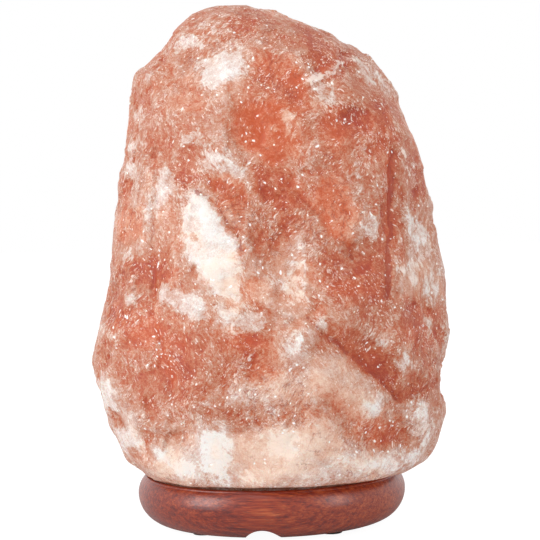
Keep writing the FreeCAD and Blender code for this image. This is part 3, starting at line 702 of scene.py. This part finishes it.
# ---------------------------------------------------------------- finishes
def rock_salt():
    """Waxy pink salt: red glassy windows, milky clouds with torn edges and scratches; painted
    glints, painted shade and light, and a faint painted glow.
    """
    # Painted glow: the salt gives off a faint light of its own colour (emission 0.1), standing in
    # for light shining through it; the lamp is off.
    salt = Finish("rock_salt", subsurface_weight=0.15, emission_strength=0.1, ior=1.5)
    salt.shader.inputs["Subsurface Scale"].default_value = 3 * MM
    salt.shader.inputs["Subsurface Radius"].default_value = (1.0, 0.25, 0.12)
    place = salt.place()
    bent = salt.warped(place, 55, 0.009)
    torn = salt.warped(bent, 240, 0.0022)
    broad = salt.noise(bent, 26, 3, 0.5)
    patchy = salt.noise(torn, 75, 6, 0.62)
    grain = salt.noise(torn, 330, 5, 0.72)
    dust = salt.noise(place, 1700, 2, 0.7)
    falling_way = salt.stretched(torn, (1.4, 1.4, 4.0), -32)
    rising_way = salt.stretched(torn, (1.4, 1.4, 4.6), 38)
    lean = broad.steps(0.46, 0.54)
    falling, rising = salt.noise(falling_way, 1.0, 5, 0.66), salt.noise(rising_way, 1.0, 5, 0.66)
    streaks = salt.mixed_values(lean, falling, rising)
    names = ("white", "mist", "red", "pale", "smooth", "crease_shade", "ridge_highlight", "ridge")
    white, mist, red, pale, smooth, crease_shade, ridge_highlight, ridge = (salt.attribute(name) for name in names)
    warm = salt.noise(bent, 40, 4, 0.6)
    crowded = 1.0 - smooth * 0.4 - white * 0.35 - pale * 0.25

    # milky veils with torn but sharp edges, and a foam of small clear and milky grains
    edges = (patchy - 0.5) * 1.3 + (grain - 0.5) * 0.8 + (streaks - 0.5) * 0.6
    veil = (white + edges).steps(0.40, 0.60)
    wisps = (mist + edges * 1.1).steps(0.30, 0.52) * (1.0 - veil)
    foam = salt.noise(torn, 290, 6, 0.74).steps(0.46, 0.55)
    sugar = salt.noise(torn, 780, 3, 0.7).steps(0.46, 0.55)
    specks = dust.steps(0.44, 0.58)

    # how milky the salt is, from clear red-brown through pink to white
    milk = (broad - 0.5) * 0.3 + (patchy - 0.5) * 0.5 + (streaks - 0.5) * 0.45 + (grain - 0.5) * 0.4
    milk = milk + (foam - 0.5) * crowded * (mist * 0.1 + 0.11) + (sugar - 0.5) * crowded * 0.14
    milk = milk + (specks - 0.5) * 0.12 + veil * 0.26 + wisps * 0.15 + mist * 0.1 + white * 0.03
    # painted shade and light: hollows redder and raised places paler (ridge); red patches darker,
    # pale patches lighter
    milk = milk + pale * 0.26 - red * 0.2 + ridge * 0.15 + 0.31
    colour = salt.ramp(
        milk,
        (0.02, paint(156, 50, 16)),
        (0.20, paint(174, 83, 43)),
        (0.40, paint(184, 124, 97)),
        (0.60, paint(199, 162, 147)),
        (0.80, paint(216, 198, 190)),
        (1.00, paint(233, 230, 226)),
    )
    amber = (warm * 1.1 + smooth * 0.2 + red * 0.1 + pale * 0.1 - white * 0.25).steps(0.54, 0.84)
    honey = salt.mixed(milk.steps(0.0, 0.9), paint(198, 84, 28), paint(240, 206, 180))
    colour = salt.mixed(amber * 0.6, colour, honey)

    # sharp little flakes and scores, crowded together in some places and rare in others
    crowd = salt.noise(bent, 95, 4, 0.6) + ridge * 0.05 + wisps * 0.15 - smooth * 0.12
    crowd = crowd.steps(0.40, 0.62)
    strokes = None
    for way, few in ((falling_way, 1.0 - lean), (rising_way, lean)):
        for finer, width in ((1.0, 0.26), (1.75, 0.3)):
            spot = salt.vector("MULTIPLY", way, (finer,) * 3)
            near, chosen = salt.cells(spot, 1.0), salt.cells(spot, 1.0, "Color")
            flakes = near.steps(width, width - 0.06) * (chosen + crowd * 0.35).steps(0.78, 0.84)
            flakes = flakes * few
            strokes = flakes if strokes is None else strokes.highest(flakes)
    threads = salt.noise(bent, 420, 3, 0.6).line(0.5, 0.05)
    threads = threads * (streaks + patchy * 0.6).steps(0.79, 0.86) * crowd
    # Painted highlights: broken white lines along the ridges of the front stand in for light
    # catching their edges; they join the white strokes.
    painted_ridge_highlights = (ridge_highlight * 0.7 + (grain - 0.5) * 1.8 + (patchy - 0.5) * 2.2).steps(0.54, 0.66)
    painted_ridge_highlights = painted_ridge_highlights * ridge_highlight.steps(0.1, 0.25)
    strokes = strokes.highest(threads * 0.8).highest(painted_ridge_highlights)
    colour = salt.mixed(strokes * 0.7, colour, paint(244, 226, 216))
    gaps = salt.noise(torn, 560, 3, 0.7).steps(0.42, 0.37) * crowded
    colour = salt.mixed(gaps * 0.5, colour, paint(174, 70, 36))
    cracks_and_crease_shade = salt.noise(torn, 130, 4, 0.6).line(0.47, 0.014)
    cracks_and_crease_shade = cracks_and_crease_shade * (broad - white * 0.5).steps(0.46, 0.6)
    # Painted shade: dark red lines along the creases of the front, joined to the salt's own thin
    # cracks.
    cracks_and_crease_shade = cracks_and_crease_shade.highest((crease_shade + (grain - 0.5) * 1.4 + (patchy - 0.5) * 1.6).steps(0.74, 0.92))
    colour = salt.mixed(cracks_and_crease_shade * 0.65, colour, paint(152, 50, 24))

    # Painted glints: tiny near-white dots in the base colour stand in for light sparkling off small
    # facets; the same dots are also a little less rough.
    facets = salt.cells(torn, 560, "Color")
    sparkle = (salt.noise(bent, 60, 4, 0.65) + (grain - 0.5) * 0.6).steps(0.5, 0.66)
    glint = salt.cells(torn, 560).steps(0.36, 0.26) * (facets + sparkle * 0.2).steps(0.86, 0.9)
    colour = salt.mixed(glint * 0.9, colour, paint(254, 250, 247))

    height = grain * 0.3 + dust * 0.35 + streaks * 0.25 + sugar * 0.06
    height = height + strokes * 0.12 - cracks_and_crease_shade * 0.2
    rough = 0.4 + (grain - 0.5) * 0.4 - glint * 0.25 - strokes * 0.08 + milk.clear() * 0.12
    # the colour also feeds the painted glow
    salt.feed(base_color=colour, emission_color=colour)
    salt.feed(roughness=rough.clear(), normal=salt.bump(height, 0.0007))
    return salt


def lacquered_wood():
    """Reddish-brown stain over fine grain that runs from left to right, under satin lacquer."""
    wood = Finish("lacquered_wood", coat_weight=0.5, coat_roughness=0.27, ior=1.45)
    place = wood.place()
    bent = wood.warped(place, 14, 0.004)
    grain = wood.noise(wood.stretched(bent, (44, 1.6, 1.6)), 1.0, 5, 0.66)
    fibres = wood.noise(wood.stretched(bent, (16, 0.5, 0.5)), 1.0, 4, 0.66)
    shade = wood.noise(bent, 28, 3)
    tone = grain * 0.85 + fibres * 0.65 + shade * 0.35 - 0.42
    colour = wood.ramp(
        tone,
        (0.34, paint(88, 6, 0)),
        (0.50, paint(132, 36, 4)),
        (0.64, paint(162, 66, 26)),
        (0.82, paint(196, 108, 62)),
    )
    pores = wood.noise(wood.stretched(place, (5.5, 0.36, 0.36)), 1.0, 2, 0.5).steps(0.6, 0.7)
    colour = wood.mixed(pores * 0.45, colour, paint(52, 19, 12))
    height = grain * 0.4 + fibres * 0.3 - pores * 0.6
    rough = 0.38 + (fibres - 0.5) * 0.25
    wood.feed(base_color=colour, roughness=rough, normal=wood.bump(height, 0.00014))
    return wood


def metal(name, colour, roughness, drawn=(1.1, 1.1, 16), marks=0.12):
    """Metal with the fine lines of its rolling or drawing."""
    sheet = Finish(name, metallic=1.0)
    place = sheet.place()
    lines = sheet.noise(sheet.stretched(place, drawn), 1.0, 4, 0.6)
    smudge = sheet.noise(place, 140, 3)
    dark = tuple(0.72 * value for value in colour[:3]) + (1.0,)
    rough = roughness + (lines - 0.5) * marks * 1.5 + (smudge - 0.5) * marks
    colour = sheet.mixed((lines * 0.6 + smudge * 0.4).steps(0.35, 0.65), dark, colour)
    sheet.feed(base_color=colour, roughness=rough.clear(), normal=sheet.bump(lines, 0.00004))
    return sheet


def moulded(name, colour, roughness, grain=1400, relief=0.00005, **constants):
    """Moulded plastic, rubber or fired clay with a fine skin."""
    skin = Finish(name, **constants)
    place = skin.place()
    pits = skin.noise(place, grain, 4, 0.6)
    smudge = skin.noise(place, 120, 3)
    pale = tuple(min(1.0, 1.25 * value + 0.006) for value in colour[:3]) + (1.0,)
    tint = skin.mixed((smudge * 0.6 + pits * 0.4).steps(0.35, 0.7), colour, pale)
    rough = roughness + (smudge - 0.5) * 0.2 + (pits - 0.5) * 0.15
    skin.feed(base_color=tint, roughness=rough.clear(), normal=skin.bump(pits, relief))
    return skin


def clear_glass():
    glass = Finish("clear_glass", transmission_weight=1.0, ior=1.47)
    glass.shader.inputs["Base Color"].default_value = (0.97, 0.985, 0.98, 1.0)
    place = glass.place()
    smear = glass.noise(place, 90, 4)
    glass.feed(roughness=(smear.steps(0.45, 0.75) * 0.05 + 0.01))
    return glass


def pressed_felt():
    felt = Finish("pressed_felt", sheen_weight=0.4, sheen_roughness=0.6)
    place = felt.place()
    fluff = felt.noise(place, 2400, 5, 0.7, 0.6)
    tufts = felt.noise(place, 500, 3)
    tone = fluff * 0.7 + tufts * 0.3
    colour = felt.ramp(tone, (0.3, paint(28, 25, 23)), (0.7, paint(74, 68, 62)))
    felt.feed(base_color=colour, roughness=(0.85 + fluff * 0.15), normal=felt.bump(fluff, 0.0004))
    return felt


salt = rock_salt()
wood = lacquered_wood()
zinc_steel = metal("zinc_steel", paint(190, 188, 180), 0.32)
spring_steel = metal("spring_steel", paint(178, 178, 180), 0.26, (16, 0.8, 16))
brass = metal("brass", paint(206, 166, 92), 0.28)
nickel = metal("nickelled_brass", paint(196, 190, 176), 0.24, (1.1, 1.1, 5))
solder = metal("solder", paint(168, 168, 170), 0.42, (3, 3, 3))
lead_wire = metal("lead_wire", paint(176, 174, 168), 0.3)
tungsten = metal("tungsten", paint(98, 98, 102), 0.4)
black_plastic = moulded("black_plastic", paint(30, 29, 29), 0.36)
rubber = moulded("grey_rubber", paint(58, 58, 60), 0.62, 1800, 0.00008)
glaze = {"coat_weight": 0.5, "coat_roughness": 0.1}
ceramic = moulded("white_ceramic", paint(232, 228, 216), 0.3, 500, 0.00004, **glaze)
black_glass = moulded("black_glass", paint(16, 15, 20), 0.12, 300, 0.00003)
glass = clear_glass()
felt = pressed_felt()

cad_finishes = {
    "wooden_base": wood,
    "crystal_screws": zinc_steel,
    "holder_cap": black_plastic,
    "holder_sleeve": black_plastic,
    "holder_ring_nut": black_plastic,
    "clip_plate": spring_steel,
    "clip_wing_left": spring_steel,
    "clip_wing_right": spring_steel,
    "cord_bush": rubber,
    "contact_block": ceramic,
    "thread_shell": brass,
    "centre_contact": brass,
    "side_contact": brass,
    "terminal_screws": zinc_steel,
    "bulb_tip": solder,
    "bulb_insulator": black_glass,
    "bulb_cap": nickel,
    "bulb_glass": glass,
    "bulb_stem": glass,
    "bulb_lead_wires": lead_wire,
    "bulb_filament": tungsten,
    "foot_pad_front_right": felt,
    "foot_pad_back_right": felt,
    "foot_pad_back_left": felt,
    "foot_pad_front_left": felt,
}
for node, finish in cad_finishes.items():
    nodes[node].data.materials.clear()
    nodes[node].data.materials.append(finish.material)

hewn_crystal(salt)


# ---------------------------------------------------------------- threads, coil and pads
thread_pitch = 2.822 * MM
thread_depth = 0.45 * MM
sheet_wall = 0.4 * MM
thread_row = 0.2 * MM
least_wall = 6 * MM  # radius inside which a spun sheet is a floor and takes no thread


def rows_between(radius, low, high):
    """Points of an outline that climbs from low to high in rows fine enough for the thread."""
    count = max(1, round(abs(high - low) / thread_row))
    return [(radius, low + (high - low) * row / count) for row in range(count + 1)]


def thread_dip(point, low, high):
    """How deep the rolled thread dips at a point; it runs out softly at low and high."""
    around = math.atan2(point.y, point.x) / math.tau
    wave = 0.5 - 0.5 * math.cos(math.tau * (point.z / thread_pitch - around))
    ends = min(point.z - low, high - point.z) / (0.4 * thread_pitch)
    return thread_depth * wave * max(0.0, min(1.0, ends))


def rolled(name, outline, low, high):
    """A spun sheet with the thread rolled into its wall between low and high."""
    bm = spun(outline, 120)
    for vert in bm.verts:
        dip = thread_dip(vert.co, low, high)
        radius = math.hypot(vert.co.x, vert.co.y)
        if dip and radius > least_wall:
            vert.co.x *= (radius - dip) / radius
            vert.co.y *= (radius - dip) / radius
    return mesh_of(bm, name)


def threaded_bulb_cap(finish):
    low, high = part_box("bulb_cap")
    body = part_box("thread_shell")[1].x - 2 * sheet_wall + 0.15 * MM
    flare = high.x
    bottom, top = low.z, high.z
    flare_low, flare_high = top - 3.6 * MM, top - 2.2 * MM
    outline = [(near_axis, bottom), (body - 1.0 * MM, bottom)]
    outline += [(body - 0.3 * MM, bottom + 0.25 * MM)]
    outline += rows_between(body, bottom + 1.0 * MM, flare_low)
    outline += [(body + 0.9 * MM, flare_low + 0.75 * MM), (flare - 0.1 * MM, flare_high)]
    outline += [(flare, flare_high + 0.5 * MM)]
    outline += [(flare, top - 0.15 * MM), (flare - 0.15 * MM, top), (flare - sheet_wall, top)]
    outline += [(flare - sheet_wall, flare_high + 0.2 * MM), (body - 2 * sheet_wall, flare_low)]
    outline += [(body - 2 * sheet_wall, bottom + sheet_wall), (near_axis, bottom + sheet_wall)]
    mesh = rolled("threaded_bulb_cap", outline, bottom + 1.0 * MM, flare_low)
    return piece("threaded_bulb_cap", mesh, finish, "bulb", ["bulb_cap"])


def threaded_shell(finish):
    low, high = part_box("thread_shell")
    outer = high.x
    outline = rows_between(outer, low.z, high.z) + rows_between(outer - sheet_wall, high.z, low.z)
    mesh = rolled("threaded_shell", outline + [(outer, low.z)], low.z, high.z)
    return piece("threaded_shell", mesh, finish, "lamp_holder", ["thread_shell"])


def filament_coil(finish):
    low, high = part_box("bulb_filament")
    wire_radius = 0.1 * MM
    coil_radius = high.y - wire_radius
    turns, steps = 20, 14
    middle = (low.z + high.z) / 2
    path = []
    for step in range(turns * steps + 1):
        around = math.tau * step / steps
        along = low.x + (high.x - low.x) * step / (turns * steps)
        place = (along, coil_radius * math.cos(around), middle + coil_radius * math.sin(around))
        path.append(Vector(place))
    mesh = wire("filament_coil", path, wire_radius, 6)
    return piece("filament_coil", mesh, finish, "bulb", ["bulb_filament"])


def skirt_thread(finish):
    """The coarse thread on the holder's skirt, above the ring nut."""
    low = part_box("holder_ring_nut")[1].z + 0.3 * MM
    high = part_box("holder_sleeve")[1].z - 1.0 * MM
    radius, pitch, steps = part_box("holder_ring_nut")[1].x - 3.45 * MM, 1.6 * MM, 48
    count = round((high - low) / pitch * steps)
    path = []
    for step in range(count + 1):
        around = math.tau * step / steps
        place = (radius * math.cos(around), radius * math.sin(around), low + pitch * step / steps)
        path.append(Vector(place))
    mesh = wire("skirt_thread", path, 0.4 * MM)
    return piece("skirt_thread", mesh, finish, "lamp_holder")


def clip_bends(finish):
    """The rounded folds of the strip, on the hinge line of each wing."""
    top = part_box("clip_plate")[1]
    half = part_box("clip_wing_left")[1].y
    thick = top.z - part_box("clip_plate")[0].z
    for side, name in ((-1, "clip_fold_left"), (1, "clip_fold_right")):
        reach = side * (top.x + 0.25 * MM)
        path = [Vector((reach, half * share, top.z - thick / 2)) for share in (-1, 0, 1)]
        piece(name, wire(name, path, thick / 2, 16), finish, "lamp_holder")


def felt_pad(node, finish):
    """A punched felt disc with a soft, uneven edge."""
    low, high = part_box(node)
    centre, radius = (low + high) / 2, (high.x - low.x) / 2
    thick = high.z - low.z
    outline = [(near_axis, 0), (radius * 0.5, 0), (radius * 0.9, 0), (radius * 0.97, thick * 0.12)]
    outline += [(radius, thick * 0.35), (radius * 0.985, thick * 0.65)]
    outline += [(radius * 0.97, thick * 0.9), (radius * 0.95, thick)]
    outline += [(radius * 0.5, thick), (near_axis, thick)]
    bm = spun(outline, 72)
    for vert in bm.verts:
        if math.hypot(vert.co.x, vert.co.y) > radius * 0.8:
            frayed = 1 + 0.025 * noise.noise(vert.co * 1400 + centre * 100)
            vert.co.x *= frayed
            vert.co.y *= frayed
    bmesh.ops.translate(bm, verts=bm.verts, vec=(centre.x, centre.y, low.z))
    return piece("soft_" + node, mesh_of(bm, node), finish, "lamp_base", [node])


threaded_bulb_cap(nickel)
threaded_shell(brass)
filament_coil(tungsten)
skirt_thread(black_plastic)
clip_bends(spring_steel)
for corner in ("front_right", "back_right", "back_left", "front_left"):
    felt_pad("foot_pad_" + corner, felt)


# ---------------------------------------------------------------- light and surroundings
def softbox(name, turn, height, distance, width, tall, watts):
    """A square lamp that looks at the middle of the object. Turn 0 is the front, 90 the right."""
    data = bpy.data.lights.new(name, "AREA")
    data.shape, data.size, data.size_y, data.energy = "RECTANGLE", width, tall, watts
    lamp = bpy.data.objects.new(name, data)
    bpy.context.scene.collection.objects.link(lamp)
    around = math.radians(turn)
    lamp.location = (distance * math.sin(around), -distance * math.cos(around), height)
    lamp.rotation_mode = "QUATERNION"
    lamp.rotation_quaternion = (lamp.location - Vector((0, 0, 0.1))).to_track_quat("Z", "Y")


def white_studio(lit, shown):
    """A white world: its strength as light, and as the camera, mirrors and clear pieces show it."""
    world = bpy.data.worlds.new("white_studio")
    bpy.context.scene.world = world
    world.use_nodes = True
    tree = world.node_tree
    background = tree.nodes["Background"]
    ray = tree.nodes.new("ShaderNodeLightPath")
    seen = tree.nodes.new("ShaderNodeMath")
    seen.operation, seen.use_clamp = "ADD", True
    tree.links.new(ray.outputs["Is Camera Ray"], seen.inputs[0])
    glossy = tree.nodes.new("ShaderNodeMath")
    glossy.operation, glossy.use_clamp = "ADD", True
    tree.links.new(ray.outputs["Is Glossy Ray"], glossy.inputs[0])
    tree.links.new(ray.outputs["Is Transmission Ray"], glossy.inputs[1])
    tree.links.new(glossy.outputs[0], seen.inputs[1])
    strength = tree.nodes.new("ShaderNodeMix")
    strength.inputs[2].default_value, strength.inputs[3].default_value = lit, shown
    tree.links.new(seen.outputs[0], strength.inputs[0])
    tree.links.new(strength.outputs[0], background.inputs["Strength"])
    background.inputs["Color"].default_value = (1, 1, 1, 1)


def white_floor(bleach):
    """A sheet that takes the lamp's shadow. The camera sees it mixed with this share of white."""
    bm = bmesh.new()
    bmesh.ops.create_grid(bm, x_segments=4, y_segments=4, size=1.6)
    floor_mesh = bpy.data.meshes.new("floor")
    bm.to_mesh(floor_mesh)
    bm.free()
    floor = bpy.data.objects.new("floor", floor_mesh)
    bpy.context.scene.collection.objects.link(floor)
    sheet = Finish("floor_sheet", base_color=(0.9, 0.9, 0.9, 1.0), roughness=0.9)
    sheet.shader.inputs["Specular IOR Level"].default_value = 0.0
    ray = sheet.node("ShaderNodeLightPath", output="Is Camera Ray")
    white = sheet.node("ShaderNodeEmission", {"Strength": 1.2})
    mix = sheet.tree.nodes.new("ShaderNodeMixShader")
    share = ray * bleach
    sheet.tree.links.new(share.socket, mix.inputs[0])
    sheet.tree.links.new(sheet.shader.outputs[0], mix.inputs[1])
    sheet.tree.links.new(white.socket, mix.inputs[2])
    sheet.tree.links.new(mix.outputs[0], sheet.tree.nodes["Material Output"].inputs["Surface"])
    floor_mesh.materials.append(sheet.material)


softbox("left_softbox", -56, 0.55, 1.3, 0.7, 1.0, 12.2)
softbox("right_softbox", 62, 0.5, 1.4, 0.45, 1.0, 5.4)
softbox("top_softbox", 10, 1.5, 0.35, 0.9, 0.9, 6)
white_studio(0.45, 1.0)
white_floor(0.8)
bpy.context.scene.view_settings.view_transform = "Standard"
